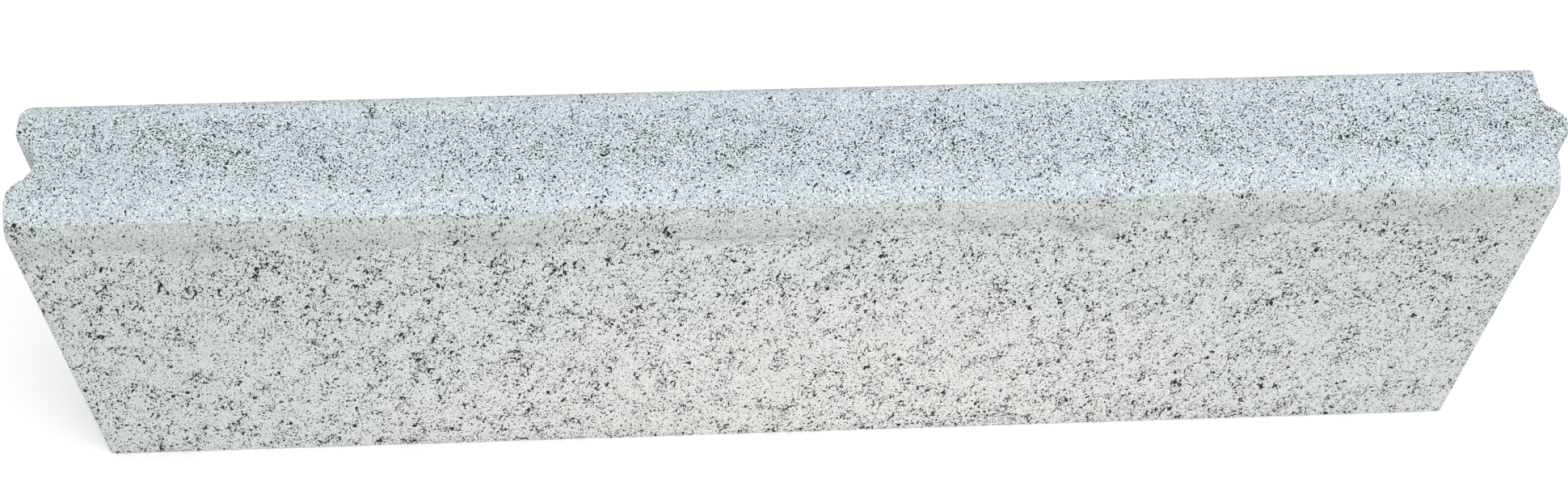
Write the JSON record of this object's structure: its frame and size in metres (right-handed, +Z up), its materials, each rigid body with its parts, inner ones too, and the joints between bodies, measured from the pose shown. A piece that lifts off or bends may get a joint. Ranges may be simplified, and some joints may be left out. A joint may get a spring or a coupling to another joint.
{
  "type": "concrete wheel stop kerb block",
  "caption": "Pressed concrete kerb block with a round front top edge, a fine face layer on a coarse core, and tongue-and-groove ends, set on its bed as a wheel stop.",
  "frame": {"origin": "middle of the bed, the flat underside, halfway between the two end faces (the tongue stands past the +X end face)", "axes": "+X along the block to the tongue end, the front with the large round edge faces -Y, +Z up"},
  "size_m": [1.0135, 0.1, 0.3],
  "materials": {
    "core_concrete": "matt, open, pressed with small tears and voids",
    "face_concrete": "matt, fine-grained, slightly bluish pale grey"
  },
  "bodies": {
    "root": {"core": "core_concrete", "face_layer": "face_concrete"}
  },
  "joints": []
}
